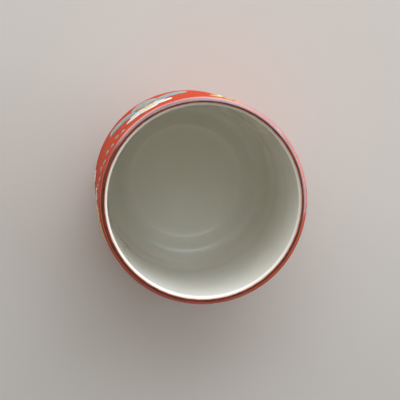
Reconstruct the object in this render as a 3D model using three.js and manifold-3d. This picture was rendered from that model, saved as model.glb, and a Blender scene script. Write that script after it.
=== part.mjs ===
// A yunomi: a tall, straight-sided Japanese tea cup of porcelain, with no handle.
// Sizes are millimetres and angles are degrees. +Z runs up the cup's axis to the mouth,
// and the origin is the centre of the foot's bottom.
import * as THREE from "three";
import { mergeVertices } from "three/addons/utils/BufferGeometryUtils.js";
import Module from "manifold-3d";

// Clay body
const CUP_HEIGHT = 88; // from the foot's bottom to the top of the glazed lip
const BODY_RADIUS = 35.45; // outside of the bare clay wall
const WALL = 2; // thickness of the clay wall
const BASE_THICKNESS = 4.15; // clay between the recess under the cup and the floor inside
const LOWER_CORNER_RADIUS = 12; // outside rounding from the wall to the base
const INNER_CORNER_RADIUS = 7; // inside rounding from the wall to the floor

// Foot ring, luted under the base
const FOOT_HEIGHT = 5;
const FOOT_WIDTH = 3.5; // from the ring's inside to its outside
const FOOT_SETBACK = 0.45; // from the end of the lower corner in to the ring's outside
const FOOT_CHAMFER = 0.8; // on both edges of the ring's bottom

// Coats of glaze and enamel, each measured square to the surface under it
const LINER_GLAZE = 0.35;
const OUTER_GLAZE = 0.3;
const BASE_GLAZE = 0.3;
const LIP_GLAZE = 0.4;
const RED_ENAMEL = 0.25;

// Where the coats end. On the lip's round section 0 faces outwards, 90 up and 180 into the cup
const LIP_BAND_OUTER_ANGLE = 60;
const LIP_BAND_INNER_ANGLE = 110;
const RED_END_ANGLE = 70; // round the lower corner, where 0 is the wall and 90 the base

// Raised enamel ornament: sprays of one white blossom over three leaves, with a yellow blossom between
const SPRAYS = 3; // evenly spaced around the cup
const FIRST_SPRAY_ANGLE = 120; // counted from +X towards +Y
const RELIEF = 0.45; // thickness of the raised enamel
const RELIEF_CLEARANCE = 0.05; // between the raised enamel and the red ground
const WHITE_PETALS = 5;
const WHITE_PETAL_RADIUS = 4.2;
const WHITE_PETAL_LAP = 1.6; // by which neighbouring petals overlap
const WHITE_BLOSSOM_DROP = 21; // from the lip's top to the blossom's centre
const YELLOW_PETALS = 8;
const YELLOW_PETAL_RADIUS = 2.1;
const YELLOW_PETAL_LAP = 0.8;
const YELLOW_BLOSSOM_DROP = 12.5;
const YELLOW_BLOSSOM_TURN = -45; // around the cup from the white blossom
const LEAF_LENGTH = 26;
const LEAF_WIDTH = 11;
const SIDE_LEAF_TILT = 27; // leans the two outer leaves away from the middle one
const SIDE_LEAF_TURN = 17; // around the cup from the middle leaf to an outer one
const MIDDLE_LEAF_DROP = 51;
const SIDE_LEAF_DROP = 46;

// Fineness of the solids
const FACETS = 60; // around the cup
const LIP_STEPS = 2; // in each stretch of the lip's round section
const CORNER_STEPS = 4; // in a rounded corner
const OUTLINE_STEPS = 6; // in each curve of an ornament's outline

// Sizes that follow from those above
const LIP_RADIUS = WALL / 2;
const LIP_CENTRE = { r: BODY_RADIUS - LIP_RADIUS, z: CUP_HEIGHT - LIP_GLAZE - LIP_RADIUS };
const BORE_RADIUS = BODY_RADIUS - WALL;
const FLOOR_HEIGHT = FOOT_HEIGHT + BASE_THICKNESS;
const OUTER_CORNER = { r: BODY_RADIUS - LOWER_CORNER_RADIUS, z: FOOT_HEIGHT + LOWER_CORNER_RADIUS };
const INNER_CORNER = { r: BORE_RADIUS - INNER_CORNER_RADIUS, z: FLOOR_HEIGHT + INNER_CORNER_RADIUS };
const FOOT_OUTER_RADIUS = OUTER_CORNER.r - FOOT_SETBACK;
const FOOT_INNER_RADIUS = FOOT_OUTER_RADIUS - FOOT_WIDTH;
const GROUND_COAT = OUTER_GLAZE + RED_ENAMEL;
const RELIEF_RADIUS = BODY_RADIUS + GROUND_COAT + RELIEF_CLEARANCE;

const wasm = await Module();
wasm.setup();

const { degToRad } = THREE.MathUtils;

const FINISHES = {
  porcelain: { color: 0xece6da, roughness: 0.6 },
  whiteGlaze: { color: 0xe9e8e1, roughness: 0.12 },
  ironGlaze: { color: 0x6e3424, roughness: 0.15 },
  redEnamel: { color: 0xc4482c, roughness: 0.22 },
  whiteEnamel: { color: 0xf1ece0, roughness: 0.2 },
  yellowEnamel: { color: 0xe0c868, roughness: 0.2 },
  tealEnamel: { color: 0x4f9a94, roughness: 0.18 },
};

function material({ color, roughness }) {
  return new THREE.MeshStandardMaterial({ color, roughness, metalness: 0 });
}

function piece(name, geometry, finish) {
  const mesh = new THREE.Mesh(geometry, material(finish));
  mesh.name = name;
  return mesh;
}

function at(r, z) {
  return new THREE.Vector2(r, z);
}

// Points on a round of the profile, from one angle to another
function arc(centre, radius, from, to, steps) {
  const points = [];
  for (let i = 0; i <= steps; i++) {
    const angle = degToRad(from + ((to - from) * i) / steps);
    points.push(at(centre.r + radius * Math.cos(angle), centre.z + radius * Math.sin(angle)));
  }
  return points;
}

// Stretches of the cup's profile, each at a coat's thickness off the clay, so that coats meet exactly
function lipOutside(coat) {
  return arc(LIP_CENTRE, LIP_RADIUS + coat, 0, LIP_BAND_OUTER_ANGLE, LIP_STEPS);
}

function lipCrown(coat) {
  const radius = LIP_RADIUS + coat;
  const outerHalf = arc(LIP_CENTRE, radius, LIP_BAND_OUTER_ANGLE, 90, LIP_STEPS);
  const innerHalf = arc(LIP_CENTRE, radius, 90, LIP_BAND_INNER_ANGLE, LIP_STEPS);
  return [...outerHalf, ...innerHalf.slice(1)];
}

function lipInside(coat) {
  return arc(LIP_CENTRE, LIP_RADIUS + coat, LIP_BAND_INNER_ANGLE, 180, LIP_STEPS);
}

function cornerUnderRed(coat) {
  return arc(OUTER_CORNER, LOWER_CORNER_RADIUS + coat, 0, -RED_END_ANGLE, CORNER_STEPS);
}

function cornerBelowRed(coat) {
  return arc(OUTER_CORNER, LOWER_CORNER_RADIUS + coat, -RED_END_ANGLE, -90, 1);
}

function innerCorner(coat) {
  return arc(INNER_CORNER, INNER_CORNER_RADIUS - coat, 0, -90, CORNER_STEPS);
}

function lowerCorner(coat) {
  return [...cornerUnderRed(coat), ...cornerBelowRed(coat).slice(1)];
}

// A solid turned about the cup's axis. The profile runs up the outside, or starts again where it ends
function turned(profile) {
  return new THREE.LatheGeometry(profile, FACETS).rotateX(Math.PI / 2);
}

function turnedRing(profile) {
  return turned([...profile, profile[0]]);
}

// Clay and its coats
function porcelainBody() {
  return turned([
    at(0, FOOT_HEIGHT),
    ...lowerCorner(0).reverse(),
    ...lipOutside(0),
    ...lipCrown(0).slice(1),
    ...lipInside(0).slice(1),
    ...innerCorner(0),
    at(0, FLOOR_HEIGHT),
  ]);
}

function footRing() {
  return turnedRing([
    at(FOOT_INNER_RADIUS + FOOT_CHAMFER, 0),
    at(FOOT_OUTER_RADIUS - FOOT_CHAMFER, 0),
    at(FOOT_OUTER_RADIUS, FOOT_CHAMFER),
    at(FOOT_OUTER_RADIUS, FOOT_HEIGHT),
    at(FOOT_INNER_RADIUS, FOOT_HEIGHT),
    at(FOOT_INNER_RADIUS, FOOT_CHAMFER),
  ]);
}

function linerGlaze() {
  return turned([
    at(0, FLOOR_HEIGHT),
    ...innerCorner(0).reverse(),
    ...lipInside(0).reverse(),
    ...lipInside(LINER_GLAZE),
    ...innerCorner(LINER_GLAZE),
    at(0, FLOOR_HEIGHT + LINER_GLAZE),
  ]);
}

function outerGlaze() {
  return turnedRing([
    at(FOOT_OUTER_RADIUS, FOOT_HEIGHT - OUTER_GLAZE),
    ...lowerCorner(OUTER_GLAZE).reverse(),
    ...lipOutside(OUTER_GLAZE),
    ...lipOutside(0).reverse(),
    ...lowerCorner(0),
    at(FOOT_OUTER_RADIUS, FOOT_HEIGHT),
  ]);
}

function baseGlaze() {
  return turned([
    at(0, FOOT_HEIGHT - BASE_GLAZE),
    at(FOOT_INNER_RADIUS, FOOT_HEIGHT - BASE_GLAZE),
    at(FOOT_INNER_RADIUS, FOOT_HEIGHT),
    at(0, FOOT_HEIGHT),
  ]);
}

function redGround() {
  return turnedRing([
    ...cornerUnderRed(GROUND_COAT).reverse(),
    ...lipOutside(GROUND_COAT),
    ...lipOutside(OUTER_GLAZE).reverse(),
    ...cornerUnderRed(OUTER_GLAZE),
  ]);
}

function lipBand() {
  return turnedRing([...lipCrown(LIP_GLAZE), ...lipCrown(0).reverse()]);
}

// Closed solids for cutting, made from geometry and turned back into it
function solidOf(geometry) {
  const bare = geometry.clone();
  bare.deleteAttribute("normal");
  bare.deleteAttribute("uv");
  const merged = mergeVertices(bare);
  return new wasm.Manifold(
    new wasm.Mesh({
      numProp: 3,
      vertProperties: merged.attributes.position.array,
      triVerts: new Uint32Array(merged.index.array),
    }),
  );
}

function geometryOf(solid) {
  const { vertProperties, triVerts } = solid.getMesh();
  const geometry = new THREE.BufferGeometry();
  geometry.setAttribute("position", new THREE.BufferAttribute(vertProperties, 3));
  geometry.setIndex(new THREE.BufferAttribute(triVerts, 1));
  geometry.computeVertexNormals();
  return geometry;
}

// Outline of a blossom: a ring of round petals that meet in notches, with one petal at the top
function blossomOutline(petals, petalRadius, lap) {
  const half = Math.PI / petals;
  const halfSpacing = petalRadius - lap / 2;
  const reach = halfSpacing / Math.sin(half);
  const notch = reach * Math.cos(half) + Math.sqrt(petalRadius ** 2 - halfSpacing ** 2);
  const sweep = Math.atan2(notch * Math.sin(half), notch * Math.cos(half) - reach);
  const outline = new THREE.Shape();
  for (let i = 0; i < petals; i++) {
    const turn = Math.PI / 2 + 2 * half * i;
    outline.absarc(reach * Math.cos(turn), reach * Math.sin(turn), petalRadius, turn - sweep, turn + sweep);
  }
  return outline;
}

// Outline of a leaf: a pointed oval that stands upright
function leafOutline() {
  const outline = new THREE.Shape();
  outline.moveTo(0, -LEAF_LENGTH / 2);
  outline.quadraticCurveTo(LEAF_WIDTH, 0, 0, LEAF_LENGTH / 2);
  outline.quadraticCurveTo(-LEAF_WIDTH, 0, 0, -LEAF_LENGTH / 2);
  return outline;
}

// The layer round the straight wall that the raised enamel is cut from
const reliefLayer = solidOf(
  turnedRing([
    at(RELIEF_RADIUS, OUTER_CORNER.z),
    at(RELIEF_RADIUS + RELIEF, OUTER_CORNER.z),
    at(RELIEF_RADIUS + RELIEF, LIP_CENTRE.z),
    at(RELIEF_RADIUS, LIP_CENTRE.z),
  ]),
);

// An outline set into that layer: leaned, lowered from the lip and turned around the cup from +X
function raised(outline, { tilt = 0, drop, turn }) {
  const prism = new THREE.ExtrudeGeometry(outline, {
    depth: RELIEF_RADIUS + 2 * RELIEF,
    curveSegments: OUTLINE_STEPS,
    bevelEnabled: false,
  });
  prism.rotateZ(degToRad(tilt));
  prism.rotateX(Math.PI / 2);
  prism.rotateZ(Math.PI / 2 + degToRad(turn));
  prism.translate(0, 0, CUP_HEIGHT - drop);
  return geometryOf(reliefLayer.intersect(solidOf(prism)));
}

// One spray at angle 0, as shapes that every copy shares
const whiteBlossom = raised(blossomOutline(WHITE_PETALS, WHITE_PETAL_RADIUS, WHITE_PETAL_LAP), {
  drop: WHITE_BLOSSOM_DROP,
  turn: 0,
});
const yellowBlossom = raised(blossomOutline(YELLOW_PETALS, YELLOW_PETAL_RADIUS, YELLOW_PETAL_LAP), {
  drop: YELLOW_BLOSSOM_DROP,
  turn: YELLOW_BLOSSOM_TURN,
});
const leaves = [-1, 0, 1].map((side) =>
  raised(leafOutline(), {
    tilt: side * SIDE_LEAF_TILT,
    drop: side === 0 ? MIDDLE_LEAF_DROP : SIDE_LEAF_DROP,
    turn: side * SIDE_LEAF_TURN,
  }),
);

function spray(index) {
  const group = new THREE.Group();
  group.rotation.z = degToRad(FIRST_SPRAY_ANGLE + (index * 360) / SPRAYS);
  group.add(piece(`white_blossom_${index + 1}`, whiteBlossom, FINISHES.whiteEnamel));
  group.add(piece(`yellow_blossom_${index + 1}`, yellowBlossom, FINISHES.yellowEnamel));
  leaves.forEach((leaf, i) => {
    group.add(piece(`teal_leaf_${index * leaves.length + i + 1}`, leaf, FINISHES.tealEnamel));
  });
  return group;
}

const cup = new THREE.Group();
cup.add(piece("porcelain_body", porcelainBody(), FINISHES.porcelain));
cup.add(piece("foot_ring", footRing(), FINISHES.porcelain));
cup.add(piece("liner_glaze", linerGlaze(), FINISHES.whiteGlaze));
cup.add(piece("outer_glaze", outerGlaze(), FINISHES.whiteGlaze));
cup.add(piece("base_glaze", baseGlaze(), FINISHES.whiteGlaze));
cup.add(piece("lip_band", lipBand(), FINISHES.ironGlaze));
cup.add(piece("red_ground", redGround(), FINISHES.redEnamel));
for (let i = 0; i < SPRAYS; i++) {
  cup.add(spray(i));
}

export default cup;
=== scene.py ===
"""Looks of a yunomi tea cup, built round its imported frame.

Lengths are metres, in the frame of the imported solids: +Z runs up the cup's axis to the mouth,
and the origin is the centre of the foot's bottom. Angles are degrees, counted from +X towards +Y.
"""
import logging
import math
from abc import ABC, abstractmethod
from dataclasses import dataclass, field
from enum import Enum
from typing import ClassVar, NamedTuple, Sequence, Union

import bpy
from mathutils import Matrix, Vector


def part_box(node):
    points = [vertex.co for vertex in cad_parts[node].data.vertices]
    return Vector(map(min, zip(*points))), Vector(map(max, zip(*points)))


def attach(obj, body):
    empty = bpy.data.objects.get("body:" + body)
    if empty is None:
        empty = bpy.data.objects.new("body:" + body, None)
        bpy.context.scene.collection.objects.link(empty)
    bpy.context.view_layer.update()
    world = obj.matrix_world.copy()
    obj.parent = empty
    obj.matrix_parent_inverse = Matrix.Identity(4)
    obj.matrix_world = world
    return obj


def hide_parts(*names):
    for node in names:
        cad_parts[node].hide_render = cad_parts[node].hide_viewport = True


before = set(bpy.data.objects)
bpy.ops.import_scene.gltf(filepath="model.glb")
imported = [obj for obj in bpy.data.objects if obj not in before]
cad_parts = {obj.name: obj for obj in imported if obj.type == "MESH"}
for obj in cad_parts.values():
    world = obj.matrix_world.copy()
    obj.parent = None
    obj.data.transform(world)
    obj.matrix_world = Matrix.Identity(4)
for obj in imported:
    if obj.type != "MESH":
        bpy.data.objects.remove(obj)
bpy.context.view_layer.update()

log = logging.getLogger("yunomi")

Piece = bpy.types.Object
Node = bpy.types.Node
Socket = bpy.types.NodeSocket
Sockets = dict[str, Socket]
Triple = tuple[float, float, float]
Colour = tuple[float, float, float, float]
Value = Union[float, Colour, Sequence[float], Socket]

MM = 0.001
BODY = "root"
FLAT_MAP = "flat"  # UV map of a motif's own drawing plane, in millimetres

# Axes that copies are spun about
MOTIF_AXIS = (0.0, 1.0, 0.0)
CUP_AXIS = (0.0, 0.0, -1.0)

# Fineness of the meshes
TURN_STEPS = 192  # around the cup
WALL_ROWS = 24  # up a straight wall
FLOOR_ROWS = 10  # across a floor or base
FOOT_ROWS = 4  # up the foot ring
RIM_ROWS = 2  # across the foot ring
CORNER_STEPS = 24  # in a rounded corner
LIP_STEPS = 14  # in a stretch of the lip
EDGE_STEPS = 3  # in a softened edge
PETAL_STEPS = 60  # around a petal
LEAF_STEPS = 26  # along one side of a leaf
STEM_STEPS = 16  # along a stem
STEM_SIDES = 4  # in a quarter of a stem's round section
DROP_STEPS = 20  # around a drop of enamel
DROP_ROWS = 12  # from pole to pole of the ball that a drop is cut from
STRIP = 1.5 * MM  # between the cuts that let a flat motif bend
MERGE_DISTANCE = 1e-6

# Angles past which an edge stays sharp
SHARP_ANGLE = 38.0
LEAF_SHARP_ANGLE = 50.0
DROP_SHARP_ANGLE = 60.0

# Inputs and output of a colour Mix node
MIX_FACTOR = 0
MIX_A = 6
MIX_B = 7
MIX_RESULT = 2


class Point(NamedTuple):
    """A point of a section or an outline: x across and z up."""

    x: float
    z: float


class Span(NamedTuple):
    """From one reading or value to another."""

    start: float
    end: float


class Slot(Enum):
    """The record's material slots."""

    PORCELAIN = "porcelain"
    WHITE_GLAZE = "white_glaze"
    IRON_GLAZE = "iron_glaze"
    RED_ENAMEL = "red_enamel"
    WHITE_ENAMEL = "white_enamel"
    YELLOW_ENAMEL = "yellow_enamel"
    TEAL_ENAMEL = "teal_enamel"


class Drawing(Enum):
    """What is drawn under a raised enamel."""

    PLAIN = "plain"
    PETAL = "petal"
    LEAF = "leaf"


class Turn(Enum):
    """The axes that a piece is turned about, as places in a rotation."""

    ABOUT_Y = 1
    ABOUT_Z = 2


def srgb(red: int, green: int, blue: int) -> Colour:
    """A colour as seen on a screen, from 0 to 255, in the linear values that shaders take.

    Args:
        red: Red on the screen.
        green: Green on the screen.
        blue: Blue on the screen.

    Returns:
        The linear colour, opaque.
    """

    def linear(level: int) -> float:
        """One channel in linear light."""
        share = level / 255.0
        return share / 12.92 if share <= 0.04045 else ((share + 0.055) / 1.055) ** 2.4

    return (linear(red), linear(green), linear(blue), 1.0)


class Tones(Enum):
    """Colours of the raised enamels: where they lie thick, and where they run thin."""

    WHITE = (srgb(240, 236, 224), srgb(226, 214, 198))
    YELLOW = (srgb(226, 196, 92), srgb(206, 160, 62))
    TEAL = (srgb(86, 146, 144), srgb(132, 174, 168))
    BROWN = (srgb(92, 44, 30), srgb(120, 62, 40))


# Sizes


def on_circle(centre: Point, radius: float, angle: float) -> Point:
    """The point of a circle of the section at an angle, counted from outwards to upwards."""
    turned = math.radians(angle)
    return Point(centre.x + radius * math.cos(turned), centre.z + radius * math.sin(turned))


@dataclass(frozen=True)
class LipShape:
    """The glazed lip's outer line: a round crown, a nearly straight bevel and a tight brow."""

    lip_centre: Point
    lip_radius: float
    wall_radius: float
    crown_radius: float = 0.8 * MM
    bevel_radius: float = 8.9 * MM
    bevel_start: float = 50.0
    bevel_end: float = 58.0
    seam: float = 55.5  # where the lip's coat meets the wall's, on the bevel
    seam_gap: float = 0.1

    @property
    def crown_centre(self) -> Point:
        """Centre of the crown, as high as the lip's round section."""
        return on_circle(self.lip_centre, self.lip_radius - self.crown_radius, 90.0)

    @property
    def bevel_centre(self) -> Point:
        """Centre of the bevel, which runs smoothly into the crown."""
        return on_circle(self.crown_centre, self.crown_radius - self.bevel_radius, self.bevel_end)

    @property
    def brow_radius(self) -> float:
        """Radius of the brow, which runs smoothly into the bevel and the wall."""
        level = math.cos(math.radians(self.bevel_start))
        return (self.wall_radius - self.bevel_centre.x - self.bevel_radius * level) / (1.0 - level)

    @property
    def brow_centre(self) -> Point:
        """Centre of the brow."""
        return on_circle(self.bevel_centre, self.bevel_radius - self.brow_radius, self.bevel_start)


@dataclass(frozen=True)
class CupSizes:
    """Sizes that the sub-assemblies share. Those that the frame shows are read from it."""

    body_radius: float
    clay_top: float
    lip_top: float
    foot_height: float
    clay_floor: float
    outer_glaze: float
    base_glaze: float
    red_radius: float
    foot_outer: float
    foot_inner: float
    wall: float = 2.0 * MM
    liner_glaze: float = 0.35 * MM
    outer_corner: float = 12.0 * MM
    inner_corner: float = 7.0 * MM
    foot_round: float = 0.8 * MM
    lip_gap: float = 0.6 * MM  # from the lip's centre down to the outer glaze
    band_outer_angle: float = 60.0
    band_inner_angle: float = 110.0
    red_end_angle: float = 70.0

    @classmethod
    def from_frame(cls) -> "CupSizes":
        """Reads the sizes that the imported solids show.

        Returns:
            The cup's sizes.
        """
        body_low, body_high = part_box("porcelain_body")
        return cls(
            body_radius=body_high.x,
            clay_top=body_high.z,
            lip_top=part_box("lip_band")[1].z,
            foot_height=body_low.z,
            clay_floor=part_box("liner_glaze")[0].z,
            outer_glaze=body_low.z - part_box("outer_glaze")[0].z,
            base_glaze=body_low.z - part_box("base_glaze")[0].z,
            red_radius=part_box("red_ground")[1].x,
            foot_outer=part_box("foot_ring")[1].x,
            foot_inner=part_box("base_glaze")[1].x,
        )

    @property
    def lip_radius(self) -> float:
        """Radius of the lip's round clay section."""
        return self.wall / 2

    @property
    def lip_centre(self) -> Point:
        """Centre of the lip's round section."""
        return Point(self.body_radius - self.lip_radius, self.clay_top - self.lip_radius)

    @property
    def lip_shape(self) -> LipShape:
        """The glazed lip's outer line."""
        glaze = self.lip_top - self.clay_top
        return LipShape(self.lip_centre, self.lip_radius + glaze, self.red_radius)

    @property
    def bore(self) -> float:
        """Radius of the clay wall's inside."""
        return self.body_radius - self.wall

    @property
    def outer_glaze_top(self) -> float:
        """Height at which the outer glaze ends."""
        return self.lip_centre.z - self.lip_gap

    @property
    def outer_corner_centre(self) -> Point:
        """Centre of the rounding from the outer wall to the base."""
        return Point(self.body_radius - self.outer_corner, self.foot_height + self.outer_corner)

    @property
    def inner_corner_centre(self) -> Point:
        """Centre of the rounding from the inner wall to the floor."""
        return Point(self.bore - self.inner_corner, self.clay_floor + self.inner_corner)


# Modelling moves


def clear_selection() -> None:
    """Deselects everything, before something new is added."""
    bpy.ops.object.select_all(action="DESELECT")


def added(name: str) -> Piece:
    """Names the object that was added last.

    Args:
        name: The object's name.

    Returns:
        The object.
    """
    made = bpy.context.object
    made.name = name
    return made


def only(obj: Piece) -> None:
    """Selects one object and nothing else, and makes it the active one.

    Args:
        obj: The object.
    """
    clear_selection()
    obj.select_set(True)
    bpy.context.view_layer.objects.active = obj


def edit_all(obj: Piece) -> None:
    """Opens a mesh for editing with all of it selected.

    Args:
        obj: The mesh object.
    """
    only(obj)
    bpy.ops.object.mode_set(mode="EDIT")
    bpy.ops.mesh.select_all(action="SELECT")


def close_edit() -> None:
    """Leaves edit mode."""
    bpy.ops.object.mode_set(mode="OBJECT")


def edit_some(obj: Piece, picked: set[int]) -> None:
    """Opens a mesh for editing with some of its vertices selected.

    Args:
        obj: The mesh object.
        picked: The vertices' indices.
    """
    edit_all(obj)
    bpy.ops.mesh.select_all(action="DESELECT")
    close_edit()
    for vertex in obj.data.vertices:
        vertex.select = vertex.index in picked
    bpy.ops.object.mode_set(mode="EDIT")


def settle(obj: Piece) -> None:
    """Puts an object's place, turn and scale into its mesh."""
    only(obj)
    bpy.ops.object.transform_apply(location=True, rotation=True, scale=True)


def move(obj: Piece, way: Triple) -> None:
    """Moves a settled mesh along a way."""
    obj.location = way
    settle(obj)


def turn(obj: Piece, about: Turn, angle: float) -> Piece:
    """Turns a mesh about an axis of the cup's frame.

    Args:
        obj: The mesh object.
        about: The axis.
        angle: How far, by the right-hand rule.

    Returns:
        The same object.
    """
    obj.rotation_euler[about.value] = math.radians(angle)
    settle(obj)
    return obj


def smooth(obj: Piece, angle: float = SHARP_ANGLE) -> None:
    """Shades a mesh smooth, apart from edges sharper than an angle."""
    only(obj)
    bpy.ops.object.shade_smooth_by_angle(angle=math.radians(angle))


def apply_modifier(obj: Piece, kind: str, **settings: object) -> None:
    """Adds a modifier to a mesh and applies it.

    Args:
        obj: The mesh object.
        kind: The modifier's type.
        **settings: The modifier's settings by name.
    """
    only(obj)
    modifier = obj.modifiers.new(kind.lower(), kind)
    for name, value in settings.items():
        setattr(modifier, name, value)
    bpy.ops.object.modifier_apply(modifier=modifier.name)


def soften_edges(obj: Piece, width: float) -> None:
    """Rounds the sharp edges of a mesh.

    Args:
        obj: The mesh object.
        width: Width of the rounding.
    """
    limit = math.radians(SHARP_ANGLE)
    apply_modifier(
        obj, "BEVEL", width=width, segments=EDGE_STEPS, limit_method="ANGLE", angle_limit=limit
    )


def cut(obj: Piece, place: Triple, normal: Triple, **settings: object) -> None:
    """Cuts a mesh along a plane.

    Args:
        obj: The mesh object.
        place: A point of the plane.
        normal: The plane's normal.
        **settings: The cut's other settings by name.
    """
    edit_all(obj)
    bpy.ops.mesh.bisect(plane_co=place, plane_no=normal, **settings)
    close_edit()


def face_outwards(obj: Piece) -> None:
    """Turns all faces of a closed mesh outwards.

    Args:
        obj: The mesh object.
    """
    edit_all(obj)
    bpy.ops.mesh.normals_make_consistent(inside=False)
    close_edit()


def spin_copies(obj: Piece, count: int, sweep: float, axis: Triple) -> None:
    """Repeats a mesh inside its own object, about an axis through the origin.

    Args:
        obj: The mesh object.
        count: How many there are in the end.
        sweep: Angle from the first to the last.
        axis: The axis.
    """
    edit_all(obj)
    angle = math.radians(sweep)
    bpy.ops.mesh.spin(steps=count - 1, dupli=True, angle=angle, center=(0, 0, 0), axis=axis)
    close_edit()


def spin_ring(obj: Piece, count: int) -> None:
    """Repeats a mesh all the way round a flat motif's origin."""
    spin_copies(obj, count, 360.0 * (count - 1) / count, MOTIF_AXIS)


def copy_of(obj: Piece, name: str) -> Piece:
    """Copies an object together with its mesh.

    Args:
        obj: The object to copy.
        name: The copy's name.

    Returns:
        The copy.
    """
    only(obj)
    bpy.ops.object.duplicate()
    return added(name)


def join(parts: Sequence[Piece], name: str) -> Piece:
    """Joins meshes into one object.

    Args:
        parts: The objects to join.
        name: The joined object's name.

    Returns:
        The joined object.
    """
    only(parts[0])
    for part in parts:
        part.select_set(True)
    bpy.ops.object.join()
    parts[0].name = name
    return parts[0]


def lay_flat_map(obj: Piece) -> None:
    """Gives a motif that is still flat a UV map of its drawing plane.

    Args:
        obj: The motif.
    """
    layer = obj.data.uv_layers.new(name=FLAT_MAP)
    for loop, corner in zip(obj.data.loops, layer.data):
        point = obj.data.vertices[loop.vertex_index].co
        corner.uv = (point.x / MM, point.z / MM)


def cut_upright(obj: Piece, across: float) -> None:
    """Cuts a flat motif along an upright plane."""
    cut(obj, (across, 0.0, 0.0), (1.0, 0.0, 0.0))


def wrap(obj: Piece, radius: float, height: float) -> None:
    """Bends a flat motif round the cup, at angle -90 and with its origin at a height.

    It is cut into upright strips first, so that all of it follows the bend.

    Args:
        obj: The motif, flat in the XZ plane and raised towards -Y.
        radius: Radius that the XZ plane is bent to.
        height: Height that the motif's origin is lifted to.
    """
    across = [vertex.co.x for vertex in obj.data.vertices]
    cuts = int(max(map(abs, across)) / STRIP)
    for place in range(-cuts, cuts + 1):
        cut_upright(obj, place * STRIP)
    bend = (max(across) - min(across)) / radius
    apply_modifier(obj, "SIMPLE_DEFORM", deform_method="BEND", deform_axis="Z", angle=bend)
    move(obj, (0.0, -radius, height))


def at_angle(obj: Piece, angle: float) -> Piece:
    """Turns a wrapped motif from its angle of -90 to another, and returns it."""
    return turn(obj, Turn.ABOUT_Z, angle + 90.0)


def set_round(model: Piece, name: str, angles: Sequence[float]) -> list[Piece]:
    """Copies a wrapped model to several angles, and removes the model.

    Args:
        model: The model, at angle -90.
        name: The copies' name, which a number is added to.
        angles: The copies' angles.

    Returns:
        The copies.
    """
    copies = [at_angle(copy_of(model, f"{name}_{i}"), angle) for i, angle in enumerate(angles, start=1)]
    bpy.data.objects.remove(model)
    return copies


class Pen:
    """Draws a line in the XZ plane by extruding and spinning a vertex."""

    TIP: ClassVar[float] = 1.0 * MM

    def __init__(self, name: str, start: Point) -> None:
        """Starts a mesh of one vertex and opens it for editing.

        Args:
            name: The object's name.
            start: Where the line starts.
        """
        clear_selection()
        bpy.ops.mesh.primitive_plane_add(size=self.TIP, calc_uvs=False)
        self.obj = added(name)
        edit_all(self.obj)
        bpy.ops.mesh.merge(type="CENTER")
        bpy.ops.transform.translate(value=(start.x, 0.0, start.z))
        self.tip = start

    def line(self, end: Point, rows: int = 1) -> "Pen":
        """Goes on straight.

        Args:
            end: Where to.
            rows: How many edges the stretch has.

        Returns:
            The pen.
        """
        step = ((end.x - self.tip.x) / rows, 0.0, (end.z - self.tip.z) / rows)
        for _ in range(rows):
            bpy.ops.mesh.extrude_region_move(TRANSFORM_OT_translate={"value": step})
        self.tip = end
        return self

    def arc(self, centre: Point, sweep: float, steps: int) -> "Pen":
        """Goes on round a centre.

        Args:
            centre: The round's centre.
            sweep: How far, positive from outwards to upwards.
            steps: How many edges the stretch has.

        Returns:
            The pen.
        """
        bpy.ops.mesh.spin(
            steps=steps,
            angle=math.radians(abs(sweep)),
            center=(centre.x, 0.0, centre.z),
            axis=(0.0, math.copysign(1.0, sweep), 0.0),
        )
        spoke = Vector((self.tip.x - centre.x, self.tip.z - centre.z))
        spoke.rotate(Matrix.Rotation(math.radians(sweep), 2))
        self.tip = Point(centre.x + spoke.x, centre.z + spoke.y)
        return self

    def turned(self, edge: float = 0.0) -> Piece:
        """Turns the drawn section about the cup's axis.

        Args:
            edge: Width that the sharp edges are rounded by.

        Returns:
            The closed, smooth piece.
        """
        bpy.ops.mesh.select_all(action="SELECT")
        bpy.ops.mesh.spin(steps=TURN_STEPS, angle=2 * math.pi, center=(0, 0, 0), axis=(0, 0, 1))
        bpy.ops.mesh.select_all(action="SELECT")
        bpy.ops.mesh.remove_doubles(threshold=MERGE_DISTANCE)
        bpy.ops.mesh.normals_make_consistent(inside=False)
        close_edit()
        if edge > 0.0:
            soften_edges(self.obj, edge)
        smooth(self.obj)
        return self.obj

    def filled(self) -> Piece:
        """Closes the drawn outline and fills it with one face.

        Returns:
            The flat piece.
        """
        bpy.ops.mesh.select_all(action="SELECT")
        bpy.ops.mesh.remove_doubles(threshold=MERGE_DISTANCE)
        bpy.ops.mesh.edge_face_add()
        close_edit()
        return self.obj


class Ring(NamedTuple):
    """One ring of a raised enamel: its share of the outline, and its rise in millimetres."""

    share: float
    rise: float


@dataclass(frozen=True)
class Relief:
    """How raised enamel builds up inside its drawn outline."""

    rings: tuple[Ring, ...]
    line_rise: float = 0.06 * MM
    line_width: float = 0.22 * MM

    def build_up(self, obj: Piece, centre: Point) -> None:
        """Raises a flat outline towards -Y, ring by ring.

        Args:
            obj: The flat piece, one face.
            centre: The point that the rings close in on.
        """
        edit_all(obj)
        bpy.ops.mesh.extrude_region_move(TRANSFORM_OT_translate={"value": (0.0, -self.line_rise, 0.0)})
        bpy.ops.mesh.inset(thickness=self.line_width)
        last_share = 1.0
        last_rise = self.line_rise
        for ring in self.rings:
            rise = ring.rise * MM
            step = (0.0, last_rise - rise, 0.0)
            bpy.ops.mesh.extrude_region_move(TRANSFORM_OT_translate={"value": step})
            share = ring.share / last_share
            middle = (centre.x, -rise, centre.z)
            bpy.ops.transform.resize(value=(share, 1.0, share), center_override=middle)
            last_share = ring.share
            last_rise = rise
        bpy.ops.mesh.poke()
        close_edit()
        face_outwards(obj)


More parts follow.
